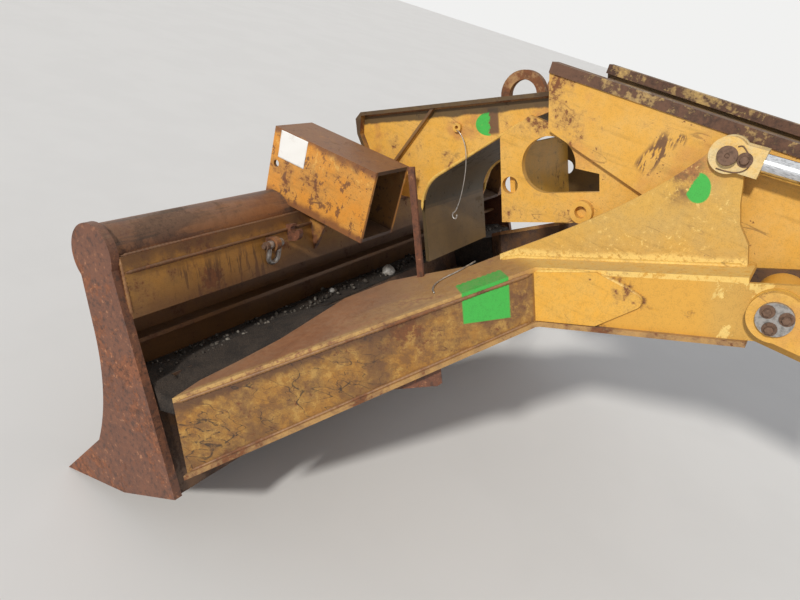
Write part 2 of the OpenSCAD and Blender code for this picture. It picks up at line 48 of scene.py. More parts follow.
# Camera at the photograph's place, with its tilt and roll
camera_data = bpy.data.cameras.new("camera")
camera_data.sensor_width = 36.0
camera_data.lens = 29.03
camera_data.clip_start = 0.05
camera_data.clip_end = 60.0
camera = bpy.data.objects.new("camera", camera_data)
bpy.context.scene.collection.objects.link(camera)
camera.matrix_world = Matrix((
    (-0.7977, 0.4473, -0.4043, 0.6555),
    (-0.5528, -0.2746, 0.7868, 2.1120),
    (0.2409, 0.8512, 0.4664, 0.5113),
    (0.0, 0.0, 0.0, 1.0),
))
bpy.context.scene.camera = camera

# The arms' frame: pitched about the pivot, which the beds of the nose's sloping plates share
PITCH = math.radians(23.3)
COS_P = math.cos(PITCH)
SIN_P = math.sin(PITCH)
PIVOT_X = 0.550
# The way the arms run in front of their bend, and the bend's corner: each is along, then across
SPLAY = (0.7330, 0.6802)
BEND = (0.588, 0.467)
# Heights of the deck and the sole behind the bend, and their fall for each metre in front of it
DECK_TOP = 0.0815
SOLE = -0.0875
DECK_DROP = 0.2230
SOLE_DROP = 0.2904
# Other places: the ear's two seams across, the blade back's face along, and the lift pin's x and z
EAR_SEAMS = (0.331, 0.359)
BACK_ALONG = 1.447
LIFT_PIN = (0.8075, 0.2767)


def on_arms(points):
    """Points given along, across and square to the arms, turned by the pitch about the pivot."""
    places = np.asarray(points, float)
    along, up = places[..., 0], places[..., 2]
    return np.stack([PIVOT_X + along * COS_P + up * SIN_P, places[..., 1], up * COS_P - along * SIN_P], -1)


def on_splay(run, out):
    """Along and across of a place that far along the splay, standing out from the arm's outer face by out."""
    return BEND[0] + run * SPLAY[0] - out * SPLAY[1], BEND[1] + run * SPLAY[1] + out * SPLAY[0]


def deck_height(along, across):
    """The arm deck's height: level behind the bend, falling with the run along the splay in front of it."""
    run = (np.asarray(along) - BEND[0]) * SPLAY[0] + (np.abs(across) - BEND[1]) * SPLAY[1]
    return DECK_TOP - DECK_DROP * np.maximum(0.0, run)


def at_across(places, across):
    """Places given as two numbers each, all at one distance across."""
    return np.insert(np.asarray(places, float), 1, across, axis=1)


def mirrored(points):
    """The same points on the machine's other side."""
    return np.asarray(points, float) * np.array([1.0, -1.0, 1.0])


# Meshes


def grid_faces(rings, sides, closed_ring=True):
    """Quads between neighbouring rings of a grid, counted as whole arrays."""
    ring, place = np.meshgrid(np.arange(rings - 1), np.arange(sides if closed_ring else sides - 1),
                              indexing="ij")
    beside = (place + 1) % sides
    near = ring * sides
    far = near + sides
    return np.stack([near + place, near + beside, far + beside, far + place], -1).reshape(-1, 4)


def capped_faces(rings, sides):
    """The same quads as lists, with one face over each end."""
    first = list(range(sides))[::-1]
    last = list(range((rings - 1) * sides, rings * sides))
    return grid_faces(rings, sides).tolist() + [first, last]


def signed_volume(points, faces):
    """Six times the volume inside a closed mesh: the triple products of its fanned triangles, summed."""
    corners = np.asarray(points, float)
    total = 0.0
    for size in {len(face) for face in faces}:
        same = np.array([face for face in faces if len(face) == size], int)
        for k in range(1, size - 1):
            squared = np.cross(corners[same[:, k]], corners[same[:, k + 1]])
            total += np.einsum("ij,ij->i", corners[same[:, 0]], squared).sum()
    return total


def facing_out(points, faces):
    """The same mesh, with its faces turned round where they look inwards."""
    if signed_volume(points, faces) < 0:
        faces = [face[::-1] for face in faces]
    return points, faces


def join_arrays(parts):
    """Several meshes' arrays as one, with their faces' numbers moved on."""
    faces, start = [], 0
    for points, own_faces in parts:
        faces += [[start + corner for corner in face] for face in own_faces]
        start += len(points)
    return np.concatenate([points for points, own_faces in parts]), faces


def make_piece(name, points, faces, body, look, slot, smooth=True):
    """A mesh from arrays of points and faces, facing outwards, riding on its body."""
    mesh = bpy.data.meshes.new(name)
    mesh.from_pydata(np.asarray(points, float).tolist(), [], [list(map(int, face)) for face in faces])
    mesh.update()
    if signed_volume(points, faces) < 0:
        mesh.flip_normals()
    mesh.polygons.foreach_set("use_smooth", np.full(len(mesh.polygons), smooth))
    mesh.materials.append(looks[look])
    piece = bpy.data.objects.new(name.replace(" ", "_"), mesh)
    bpy.context.scene.collection.objects.link(piece)
    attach(piece, body)
    return piece


def even_path(points, count):
    """The same line with points at equal steps of its length."""
    line = np.asarray(points, float)
    run = np.concatenate([[0.0], np.cumsum(np.linalg.norm(np.diff(line, axis=0), axis=1))])
    steps = np.linspace(0.0, run[-1], count)
    return np.stack([np.interp(steps, run, line[:, k]) for k in range(3)], -1)


def smooth_path(points, count):
    """Corners cut three times, then spaced evenly by length."""
    line = np.asarray(points, float)
    for _ in range(3):
        near = 0.75 * line[:-1] + 0.25 * line[1:]
        far = 0.25 * line[:-1] + 0.75 * line[1:]
        line = np.concatenate([line[:1], np.stack([near, far], 1).reshape(-1, 3), line[-1:]])
    return even_path(line, count)


def tube_arrays(path, radius, sides):
    """A circle of the given radius carried square to a path that lies near one plane; its ends are closed."""
    line = np.asarray(path, float)
    tangent = np.gradient(line, axis=0)
    tangent /= np.linalg.norm(tangent, axis=1, keepdims=True)
    plane_normal = np.linalg.svd(line - line.mean(0), full_matrices=True)[2][2]
    side = np.cross(tangent, plane_normal)
    side /= np.linalg.norm(side, axis=1, keepdims=True)
    other = np.cross(tangent, side)
    turn = np.linspace(0.0, 2 * math.pi, sides, endpoint=False)
    radii = np.broadcast_to(np.asarray(radius, float), (len(line),))[:, None, None]
    ring = side[:, None] * np.cos(turn)[None, :, None] + other[:, None] * np.sin(turn)[None, :, None]
    return (line[:, None] + radii * ring).reshape(-1, 3), capped_faces(len(line), sides)


def regular(radius, corners, turned=0.0):
    """Corners at equal turns round a circle."""
    turn = np.linspace(0.0, 2 * math.pi, corners, endpoint=False) + turned
    return np.stack([radius * np.cos(turn), radius * np.sin(turn)], -1)


def ring_stack(outline, levels, origin, sign):
    """An outline on a face that looks sideways, drawn in by each level's inset and raised to its height."""
    reach = np.linalg.norm(outline, axis=1, keepdims=True)
    rings = []
    for inset, height in levels:
        drawn = outline * (1 - inset / reach)
        raised = np.full(len(outline), sign * height)
        rings.append(np.column_stack([-sign * drawn[:, 0], raised, drawn[:, 1]]) + origin)
    return np.concatenate(rings), capped_faces(len(rings), len(outline))


def bolt_arrays(origin, size, sign):
    """A washer and a chamfered six-sided head on it, with their levels as shares of the size across flats."""
    washer_levels = np.array([(0, 0), (0, 0.13), (0.03, 0.16)]) * size
    head_levels = np.array([(0, 0.16), (0, 0.70), (0.05, 0.78), (0.30, 0.80)]) * size
    washer = ring_stack(regular(size * 0.95, 32), washer_levels, origin, sign)
    head = ring_stack(regular(size * 0.577, 6, turned=0.3), head_levels, origin, sign)
    return join_arrays([washer, head])


def bead_arrays(points, size):
    """A weld bead, half sunk in its seam: a tube that swells and shrinks with each ripple of the weld."""
    spacing, ripple, tail = 0.0045, 0.013, 0.012
    line = np.asarray(points, float)
    length = np.linalg.norm(np.diff(line, axis=0), axis=1).sum()
    path = even_path(line, max(6, int(length / spacing)))
    run = np.linspace(0.0, length, len(path))
    drift = np.sin(run * 23.0 + 1.7 * np.sin(run * 9.0))
    swell = 1 + 0.13 * np.sin(run * 2 * math.pi / ripple) + 0.10 * drift
    taper = np.clip(np.minimum(run, length - run) / tail, 0.35, 1.0)
    return tube_arrays(path, size * swell * taper, 8)


def sheet_arrays(front, back):
    """Two grids of points as the faces of one thin closed sheet, with walls round its rim."""
    rows, columns = front.shape[:2]
    count = rows * columns
    number = np.arange(count).reshape(rows, columns)
    rim = np.concatenate([number[0], number[1:, -1], number[-1, -2::-1], number[-2:0:-1, 0]])
    beyond = np.roll(rim, -1)
    walls = np.stack([beyond, rim, rim + count, beyond + count], -1)
    faces = grid_faces(rows, columns, closed_ring=False)
    points = np.concatenate([front.reshape(-1, 3), back.reshape(-1, 3)])
    return points, faces.tolist() + (faces[:, ::-1] + count).tolist() + walls.tolist()


# Shader maths


def connect(tree, target, value):
    """Links a value or socket to a socket, or sets a plain number, vector or colour on it."""
    if isinstance(value, Value):
        value = value.socket
    if isinstance(value, bpy.types.NodeSocket):
        tree.links.new(value, target)
    elif target.type == "RGBA":
        target.default_value = (*value, 1.0)
    else:
        target.default_value = value


class Value:
    """A socket of a node tree; arithmetic on it adds the Math nodes that it takes."""

    def __init__(self, tree, socket):
        self.tree = tree
        self.socket = socket

    def step(self, operation, *values, clamp=False):
        """One Math node on the values given."""
        node = self.tree.nodes.new("ShaderNodeMath")
        node.operation = operation
        node.use_clamp = clamp
        for target, value in zip(node.inputs, values):
            connect(self.tree, target, value)
        return Value(self.tree, node.outputs[0])

    def __add__(self, other):
        return self.step("ADD", self, other)

    __radd__ = __add__

    def __sub__(self, other):
        return self.step("SUBTRACT", self, other)

    def __rsub__(self, other):
        return self.step("SUBTRACT", other, self)

    def __mul__(self, other):
        return self.step("MULTIPLY", self, other)

    __rmul__ = __mul__

    def size(self):
        """The value without its sign."""
        return self.step("ABSOLUTE", self)

    def held(self):
        """The value kept between nought and one."""
        return self.step("ADD", self, 0.0, clamp=True)

    def most(self, other):
        """The larger of two values."""
        return self.step("MAXIMUM", self, other)

    def rise(self, low, high):
        """Nought below low, one above high, smooth between; with low above high it falls."""
        node = self.tree.nodes.new("ShaderNodeMapRange")
        node.interpolation_type = "SMOOTHSTEP"
        falls = low > high
        ends = (min(low, high), max(low, high), float(falls), float(not falls))
        for target, value in zip(node.inputs, (self, *ends)):
            connect(self.tree, target, value)
        return Value(self.tree, node.outputs[0])


class Finish:
    """A material under construction: the places on a piece as Values, textures on them, and the shader."""

    def __init__(self, name):
        self.material = bpy.data.materials.new(name)
        self.material.use_nodes = True
        self.tree = self.material.node_tree
        self.shader = self.tree.nodes["Principled BSDF"]
        self.point = self.node("ShaderNodeTexCoord").outputs["Object"]
        parts = self.node("ShaderNodeSeparateXYZ", {"Vector": self.point}).outputs
        self.x, self.y, self.z = (Value(self.tree, parts[k]) for k in range(3))
        self.along = (self.x - PIVOT_X) * COS_P - self.z * SIN_P
        self.up = (self.x - PIVOT_X) * SIN_P + self.z * COS_P
        self.across = self.y.size()
        facing = self.node("ShaderNodeNewGeometry").outputs["Normal"]
        turned = self.node("ShaderNodeSeparateXYZ", {"Vector": facing}).outputs
        self.sideways = Value(self.tree, turned[1])
        self.upward = Value(self.tree, turned[2])

    def node(self, kind, values=None, **settings):
        """A node of this kind: its settings come first, then its sockets' values or links."""
        made = self.tree.nodes.new(kind)
        for key, value in settings.items():
            setattr(made, key, value)
        for key, value in (values or {}).items():
            connect(self.tree, made.inputs[key], value)
        return made

    def noise(self, scale, detail=4.0, rough=0.6, stretch=(1.0, 1.0, 1.0), shift=(0.0, 0.0, 0.0)):
        """Noise from nought to one, stretched and shifted by a Mapping node where asked."""
        vector = self.point
        if stretch != (1.0, 1.0, 1.0) or shift != (0.0, 0.0, 0.0):
            mapping = {"Vector": vector, "Location": shift, "Scale": stretch}
            vector = self.node("ShaderNodeMapping", mapping).outputs[0]
        settings = {"Vector": vector, "Scale": scale, "Detail": detail, "Roughness": rough}
        return Value(self.tree, self.node("ShaderNodeTexNoise", settings).outputs[0])

    def cells(self, scale):
        """The distance to the nearest of many scattered points."""
        made = self.node("ShaderNodeTexVoronoi", {"Vector": self.point, "Scale": scale})
        return Value(self.tree, made.outputs["Distance"])

    def mix(self, first, second, amount):
        """The second colour over the first by amount."""
        made = self.node("ShaderNodeMix", data_type="RGBA")
        for place, value in ((0, amount), (6, first), (7, second)):
            connect(self.tree, made.inputs[place], value)
        return made.outputs[2]

    def window(self, value, low, high, soft=0.002):
        """One between low and high, with edges as soft as given."""
        return value.rise(low - soft, low + soft) * value.rise(high + soft, high - soft)

    def splay_run(self):
        """The distance from the arm's bend along its splay."""
        return (self.along - BEND[0]) * SPLAY[0] + (self.across - BEND[1]) * SPLAY[1]

    def close(self, colour, rough, metallic=0.0, height=None, strength=0.4, distance=0.002):
        """Ties the colour, roughness and relief to the shader."""
        values = {"Base Color": colour, "Roughness": rough, "Metallic": metallic}
        if height is not None:
            relief = {"Height": height, "Strength": strength, "Distance": distance}
            values["Normal"] = self.node("ShaderNodeBump", relief).outputs[0]
        for key, value in values.items():
            connect(self.tree, self.shader.inputs[key], value)
        return self.material


# Colours as linear red, green and blue, each named for the piece or the mark that it is on

YELLOW = (0.700, 0.365, 0.050)
PALE_YELLOW = (0.700, 0.400, 0.090)
GREEN = (0.050, 0.420, 0.060)
DARK_RUST = (0.045, 0.020, 0.012)
WARM_RUST = (0.190, 0.070, 0.025)
DUST = (0.330, 0.235, 0.150)
PIT_BLACK = (0.020, 0.012, 0.008)
# Painted shade for the frame's inner faces
INSIDE_SHADE = (0.040, 0.028, 0.018)
SCRATCH_BLACK = (0.024, 0.016, 0.012)
SCUFFED_YELLOW = (0.830, 0.600, 0.190)
DECK_STRIP = (0.560, 0.330, 0.090)
DECK_EDGE = (0.620, 0.400, 0.130)
DECK_RUST = (0.250, 0.105, 0.048)
DECK_CHALK = (0.830, 0.580, 0.170)
ARM_MOTTLE = (0.150, 0.066, 0.026)
ARM_PALE = (0.560, 0.330, 0.085)
ARM_REAR = (0.560, 0.330, 0.075)
ARM_SMUDGE = (0.110, 0.050, 0.026)
ARM_BAND = (0.090, 0.038, 0.018)
ARM_CLOUD = (0.130, 0.062, 0.024)
# Painted shadow round the green patch on the arm
TAPE_SHADOW = (0.130, 0.055, 0.026)
EAR_BURNT = (0.150, 0.065, 0.028)
EAR_WARM = (0.420, 0.170, 0.050)
SIDE_TINT = (0.560, 0.240, 0.060)
SIDE_SCRAPE = (0.110, 0.045, 0.024)
NOSE_STAIN = (0.430, 0.170, 0.055)
NOSE_PRINT = (0.100, 0.045, 0.026)
# Painted shadow under the nose cover's overhang
COVER_SHADOW_BAND = (0.050, 0.032, 0.014)
# Painted shade on the nose plate's rib
NOSE_RIB_SHADE = (0.130, 0.062, 0.026)
# Painted shade on the nose cover's side edges
COVER_EDGE_SHADE = (0.052, 0.034, 0.016)
# Painted shade on the pan below its rolled top
PAN_SHADE = (0.048, 0.036, 0.015)
PAN_BROWN = (0.300, 0.175, 0.055)
BOX_GRAIN = (0.520, 0.230, 0.070)
BOX_SPOT = (0.150, 0.060, 0.028)
BOX_PALE = (0.780, 0.460, 0.120)
BOX_RUST = (0.165, 0.062, 0.028)
# Painted shade inside the push box
BOX_INSIDE_SHADE = (0.035, 0.022, 0.016)
TUBE_WARM = (0.300, 0.125, 0.045)
TUBE_DARK = (0.030, 0.018, 0.014)
TUBE_PAINT = (0.450, 0.210, 0.035)
SCALE_DARK = (0.052, 0.026, 0.018)
SCALE_PALE = (0.420, 0.190, 0.090)
BACK_BRUSHED = (0.085, 0.036, 0.018)
# Painted shade low on the blade's back and under its tube
BACK_SHADE = (0.105, 0.045, 0.022)

# Places of marks: the green patch at the bend, along; the half-round patches, along and up; scrapes, x and z
PATCH_ENDS = (0.645, 0.745)
EAR_PATCH = (0.194, 0.277)
NOSE_PATCH = (0.816, 0.472)
SCRAPES = (0.980, 0.206)
SECOND_SCRAPE = (0.935, 0.262)


def weathered(name, paint, faded, bare=0.60, chips=0.60, dust=0.35, marks=None,
              rust=(DARK_RUST, WARM_RUST), scratches=0.5):
    """Old paint over rust: broad worn patches, small chips, thin scratches, pits, and dust on upward faces.

    Bare and chips are levels of noise above which the paint is gone, so a lower one shows more rust.
    """
    f = Finish(name)
    f.broad = f.noise(2.6, 5.0, 0.62)
    f.middle = f.noise(11.0, 6.0, 0.68, shift=(3.1, 0.7, 1.9))
    f.fine = f.noise(70.0, 7.0, 0.72)
    grain = f.noise(330.0, 2.0, 0.5)
    wear = f.broad * 0.42 + f.middle * 0.36 + f.fine * 0.22
    gone = wear.rise(bare - 0.018, bare + 0.022)
    chipped = (f.fine * 0.6 + f.middle * 0.4).rise(chips, chips + 0.02)
    drift = f.noise(2.2, 2.0, 0.5, stretch=(1.0, 1.0, 5.5), shift=(7.0, 2.0, 1.0))
    scratched = (drift - 0.5).size().rise(0.006, 0.001) * f.middle.rise(0.48, 0.60) * scratches
    lost = gone.most(chipped).most(scratched)
    coat = f.mix(paint, faded, f.middle.rise(0.34, 0.66))
    streak = f.noise(5.0, 3.0, 0.6, stretch=(1.0, 1.0, 9.0), shift=(0.0, 5.0, 0.0))
    coat = f.mix(coat, tuple(0.42 * part for part in paint), streak.rise(0.53, 0.75) * 0.30)
    edge = wear.rise(bare - 0.05, bare - 0.01) * (1 - gone)
    coat = f.mix(coat, tuple(0.5 * a + 0.5 * b for a, b in zip(faded, rust[1])), edge * 0.6)
    under = f.mix(rust[0], rust[1], (f.fine * 0.5 + f.broad * 0.5).rise(0.40, 0.60))
    colour = f.mix(coat, under, lost)
    if marks:
        colour = marks(f, colour)
    settled = f.upward.rise(0.35, 0.95) * (f.broad * 0.5 + f.fine * 0.5).rise(0.38, 0.62) * dust
    colour = f.mix(colour, DUST, settled)
    pits = (grain * 0.5 + f.fine * 0.5).rise(0.52, 0.40)
    colour = f.mix(colour, PIT_BLACK, pits * 0.16)
    rough = 0.46 + lost * 0.34 + settled * 0.3 + f.fine * 0.10
    height = f.fine * 0.5 + grain * 0.25 - lost * 0.35
    return f.close(colour, rough.held(), 0.0, height, 0.35, 0.0018)


def green_patch(f, colour, patch, worn=0.66):
    """Green over the patch, gone in fine spots where the fine noise is above worn."""
    return f.mix(colour, GREEN, patch * (1 - f.fine.rise(worn, worn + 0.04)))


def deck_marks(f, colour):
    """The arm deck: a rusty middle, with the paint left as a lighter strip toward the bend."""
    run = f.splay_run()
    side = (f.across - BEND[1]) * SPLAY[0] - (f.along - BEND[0]) * SPLAY[1]
    left = run.rise(0.46, 0.20) * f.middle.rise(0.40, 0.52)
    kept = run.rise(0.62, 0.30) * (f.fine * 0.5 + f.middle * 0.5).rise(0.44, 0.52)
    strip = f.window(side, -0.150, -0.020, 0.03) * kept
    colour = f.mix(colour, DECK_STRIP, left.most(strip) * 0.85)
    rubbed = side.rise(-0.030, -0.006) * (f.fine * 0.7 + f.broad * 0.3).rise(0.40, 0.50)
    colour = f.mix(colour, DECK_EDGE, rubbed * run.rise(0.02, 0.12) * 0.75)
    rust = f.middle.rise(0.40, 0.58) * run.rise(-0.06, 0.06)
    colour = f.mix(colour, DECK_RUST, rust * 0.55)
    sound = run.rise(0.05, -0.05) * (f.middle * 0.5 + f.broad * 0.5).rise(0.60, 0.54)
    colour = f.mix(colour, YELLOW, sound * 0.92)
    colour = f.mix(colour, DECK_CHALK, run.rise(0.02, -0.04) * f.fine.rise(0.38, 0.50) * 0.75)
    slanted = f.along + side * 0.65
    zigzag = slanted.step("PINGPONG", slanted * 90.0, 0.5) * 0.016
    patch = f.window(slanted, *PATCH_ENDS) * (side + zigzag).rise(-0.086, -0.084)
    return green_patch(f, colour, patch)


def arm_side_marks(f, colour):
    """The arm's outer face: a dark band under the deck, black scratches, a green patch by the bend and a
    painted shadow beside and below it.
    """
    run = f.splay_run()
    below = (DECK_TOP - DECK_DROP * run.most(0.0)) - f.up
    sound = run.rise(0.008, -0.001) * (f.middle * 0.5 + f.broad * 0.5).rise(0.62, 0.56)
    worn = run.rise(0.004, 0.012)
    mottle = f.noise(27.0, 7.0, 0.76, shift=(2.0, 6.0, 1.0))
    colour = f.mix(colour, ARM_MOTTLE, mottle.rise(0.480, 0.600) * worn * 0.65)
    colour = f.mix(colour, ARM_PALE, mottle.rise(0.470, 0.380) * worn * 0.50)
    colour = f.mix(colour, YELLOW, sound * 0.9)
    behind = run.rise(-0.300, -0.350)
    colour = f.mix(colour, ARM_REAR, behind * 0.75)
    scuffs = f.noise(20.0, 6.0, 0.72, stretch=(1.0, 1.0, 0.5), shift=(9.0, 2.0, 3.0))
    colour = f.mix(colour, SCUFFED_YELLOW, behind * scuffs.rise(0.585, 0.620) * 0.8)
    smudge = f.window(run + (f.middle - 0.5) * 0.12, 0.430, 0.490, 0.03)
    colour = f.mix(colour, ARM_SMUDGE, smudge * 0.55)
    band = (below + (f.middle - 0.5) * 0.10).rise(0.052, 0.026) * run.rise(0.12, 0.40)
    colour = f.mix(colour, ARM_BAND, band * 0.85)
    colour = f.mix(colour, ARM_CLOUD, f.broad.rise(0.50, 0.62) * run.rise(0.30, 0.60) * 0.6)
    for scale, shift in ((3.2, 0.0), (5.0, 4.0), (8.0, 9.0)):
        drift = f.noise(scale, 2.0, 0.5, stretch=(1.0, 1.0, 2.6), shift=(shift, 1.0, 0.5))
        line = (drift - 0.5).size().rise(0.0070, 0.0015)
        colour = f.mix(colour, SCRATCH_BLACK, line * run.rise(0.30, 0.60) * f.fine.rise(0.40, 0.52) * 0.80)
    outside = f.sideways.size().rise(0.4, 0.6)
    # Painted shadow of the green patch: a dark rim beside and below it
    rim = f.window(f.along, 0.600, 0.760, 0.02) * f.up.rise(-0.080, -0.050) * outside
    colour = f.mix(colour, TAPE_SHADOW, rim * f.fine.rise(0.40, 0.50) * 0.6)
    patch = f.window(f.along, *PATCH_ENDS) * f.up.rise(-0.056, -0.052)
    return green_patch(f, colour, patch * outside)


def ear_marks(f, colour):
    """The ear: a green half-round patch below the pin, burnt and rubbed paint round it, and pale flecks."""
    over = f.along - EAR_PATCH[0]
    high = f.up - EAR_PATCH[1]
    outer = f.sideways.size().rise(0.5, 0.7)
    bulge = over * over * 1.25 + high * high * 0.80 + (f.middle - 0.5) * 0.0006
    forward = over * 0.85 + high * 0.53 + (f.fine - 0.5) * 0.02
    patch = bulge.rise(0.00125, 0.00100) * forward.rise(0.018, 0.015)
    burnt = f.window(over, -0.010, 0.075, 0.02) * f.window(high, -0.030, 0.090, 0.03)
    colour = f.mix(colour, EAR_BURNT, burnt * f.middle.rise(0.38, 0.50) * outer * 0.85)
    warm = f.window(over, -0.060, 0.050, 0.03) * f.window(high, 0.020, 0.130, 0.03)
    colour = f.mix(colour, EAR_WARM, warm * f.fine.rise(0.42, 0.54) * outer * 0.6)
    rubbed = (f.up + (f.middle - 0.5) * 0.05).rise(0.112, 0.096) * f.fine.rise(0.40, 0.50)
    flecks = f.fine.rise(0.580, 0.610) * f.broad.rise(0.44, 0.56)
    colour = f.mix(colour, SCUFFED_YELLOW, rubbed.most(flecks) * outer * 0.8)
    return green_patch(f, colour, patch * outer, worn=0.68)


def inside_marks(f, colour):
    """The frame's inner faces: darkened as painted shade."""
    inward = (f.sideways * f.y).rise(-0.05, -0.15)
    inside_shade = inward * (0.75 + f.middle * 0.3)
    return f.mix(colour, INSIDE_SHADE, inside_shade.held() * 0.93)


def side_marks(f, colour):
    """The frame's side plates: a group of slanting scrapes outside, soft rust tints, and painted shade
    inside.
    """
    outer = (f.sideways * f.y).rise(0.05, 0.15)
    stain = f.noise(4.5, 5.0, 0.62, shift=(1.0, 8.0, 2.0))
    colour = f.mix(colour, SIDE_TINT, stain.rise(0.56, 0.68) * outer * 0.45)
    forward = f.x - SCRAPES[0]
    high = f.z - SCRAPES[1]
    lengthwise = high * 0.940 - forward * 0.345
    sideways = forward * 0.940 + high * 0.345
    group = f.window(lengthwise, -0.055, 0.055, 0.012) * f.window(sideways, -0.024, 0.024, 0.008)
    second = f.window(f.x - SECOND_SCRAPE[0], -0.012, 0.012, 0.006)
    second = second * f.window(f.z - SECOND_SCRAPE[1], -0.012, 0.012, 0.006)
    strokes = f.noise(75.0, 5.0, 0.65, stretch=(1.0, 1.0, 0.30), shift=(0.0, 2.0, 5.0)).rise(0.46, 0.52)
    colour = f.mix(colour, SIDE_SCRAPE, group.most(second) * strokes * outer * 0.9)
    return inside_marks(f, colour)


def nose_marks(f, colour):
    """The nose plate: a green patch, a rusty bar's print beside it, rust tints, a painted shadow along the
    cover, and painted shade on the rib and inside.
    """
    outer = f.sideways.size().rise(0.5, 0.7)
    stain = f.noise(7.5, 5.0, 0.60, shift=(4.0, 1.0, 6.0))
    colour = f.mix(colour, NOSE_STAIN, stain.rise(0.54, 0.66) * 0.55)
    bar_print = f.window(f.along, 0.784, 0.820, 0.004) * f.window(f.up, 0.440, 0.520, 0.006)
    colour = f.mix(colour, NOSE_PRINT, bar_print * outer * 0.9)
    over = (f.along - NOSE_PATCH[0]) * 21.3
    high = (f.up - NOSE_PATCH[1]) * 28.0
    ragged = over + (f.fine - 0.5) * 0.8
    patch = (over * over + high * high).rise(1.05, 0.95) * ragged.rise(-0.06, 0.02)
    colour = green_patch(f, colour, patch * outer)
    # Painted shadow of the cover's overhang: a dark band along the plate's top
    colour = f.mix(colour, COVER_SHADOW_BAND, (f.up + (f.middle - 0.5) * 0.03).rise(0.500, 0.508) * 0.9)
    # Painted shade on the rib that stands out from the plate
    colour = f.mix(colour, NOSE_RIB_SHADE, f.across.rise(0.2415, 0.2445) * 0.85)
    return inside_marks(f, colour)


def cover_marks(f, colour):
    """The nose cover: painted shade along its side edges."""
    return f.mix(colour, COVER_EDGE_SHADE, f.sideways.size().rise(0.5, 0.8) * 0.85)


def pan_marks(f, colour):
    """The pan: brown paint over the rolled top, and painted shade below it."""
    rolled = f.upward.rise(0.30, 0.52)
    shade_streaks = f.noise(30.0, 4.0, 0.6, stretch=(1.0, 1.0, 0.12), shift=(3.0, 0.0, 0.0))
    # Painted shade on the faces that do not look up, in faint streaks
    colour = f.mix(colour, PAN_SHADE, (1 - rolled) * (0.70 + shade_streaks * 0.25).held())
    return f.mix(colour, PAN_BROWN, rolled * (0.35 + f.middle * 0.5).held())


def box_marks(f, colour):
    """The push box: rust over its top and down its edges, painted shade inside, with dark spots and paler
    paint between.
    """
    top = f.upward.rise(0.6, 0.9)
    grain = f.noise(60.0, 4.0, 0.6, stretch=(0.12, 1.0, 1.0), shift=(0.0, 6.0, 0.0))
    colour = f.mix(colour, BOX_GRAIN, top * grain.rise(0.50, 0.62) * 0.6)
    spots = f.noise(34.0, 6.0, 0.74, stretch=(1.0, 1.0, 0.7), shift=(5.0, 2.0, 0.0))
    colour = f.mix(colour, BOX_SPOT, spots.rise(0.565, 0.600) * 0.85)
    level = f.z + (f.middle - 0.5) * 0.08
    colour = f.mix(colour, BOX_PALE, spots.rise(0.440, 0.400) * level.rise(-0.200, -0.130) * 0.6)
    edges = level.rise(-0.292, -0.318).most(level.rise(-0.122, -0.096))
    rusted = edges.most(top * (f.middle * 0.6 + f.broad * 0.4).rise(0.42, 0.56))
    colour = f.mix(colour, BOX_RUST, rusted * 0.85)
    # Painted shade inside the box, but not on upward faces high up
    inside = f.window(f.across, 0.340, 0.500, 0.003) * (1 - top * f.z.rise(-0.2, -0.1))
    return f.mix(colour, BOX_INSIDE_SHADE, inside * 0.8)


def tube_marks(f, colour):
    """The top tube: rubbed lengthwise, with a little paint left under its rear."""
    rub = f.noise(26.0, 4.0, 0.6, stretch=(1.0, 0.07, 1.0))
    colour = f.mix(colour, TUBE_WARM, rub.rise(0.52, 0.64) * 0.55)
    colour = f.mix(colour, TUBE_DARK, rub.rise(0.46, 0.38) * 0.6)
    kept = f.up.rise(0.235, 0.200) * (f.broad * 0.5 + f.middle * 0.5).rise(0.48, 0.56)
    return f.mix(colour, TUBE_PAINT, kept * 0.8)


def rust_marks(f, colour):
    """Rusted plate: pale orange flecks and dark scale."""
    flecks = f.noise(52.0, 6.0, 0.76, shift=(1.0, 4.0, 2.0))
    colour = f.mix(colour, SCALE_DARK, flecks.rise(0.470, 0.410) * 0.7)
    return f.mix(colour, SCALE_PALE, flecks.rise(0.580, 0.640) * f.broad.rise(0.36, 0.56) * 0.8)


def back_marks(f, colour):
    """The blade's back: painted shade up from the lower edges and under the tube, and rubbed upright marks.
    """
    brushed = f.noise(9.0, 4.0, 0.62, stretch=(1.0, 7.0, 1.0), shift=(0.0, 3.0, 0.0))
    rubbed = f.window(f.across, 0.62, 1.02, 0.06) * f.window(f.up, 0.02, 0.17, 0.03)
    colour = f.mix(colour, BACK_BRUSHED, brushed.rise(0.50, 0.60) * rubbed * 0.75)
    # Painted shade: darker towards the bottom and up under the tube
    low = (f.up + (f.middle - 0.5) * 0.16).rise(0.150, 0.060)
    high = (f.up + (f.middle - 0.5) * 0.08).rise(0.185, 0.225)
    return f.mix(colour, BACK_SHADE, low.most(high) * 0.75)


def steel(name, colour, rough, metallic=1.0, spots=0.5, streaks=(1.0, 1.0, 1.0)):
    """Bare metal, dulled by fine marks and a few rust spots."""
    f = Finish(name)
    fine = f.noise(90.0, 6.0, 0.7, stretch=streaks)
    spot = f.noise(38.0, 5.0, 0.7, shift=(2.0, 1.0, 0.0)).rise(0.60, 0.68) * spots
    tone = f.mix(colour, tuple(0.55 * part for part in colour), fine.rise(0.42, 0.66))
    tone = f.mix(tone, WARM_RUST, spot)
    dulled = (rough + fine * 0.16 + spot * 0.4).held()
    return f.close(tone, dulled, (metallic - spot).held(), fine, 0.12, 0.0006)


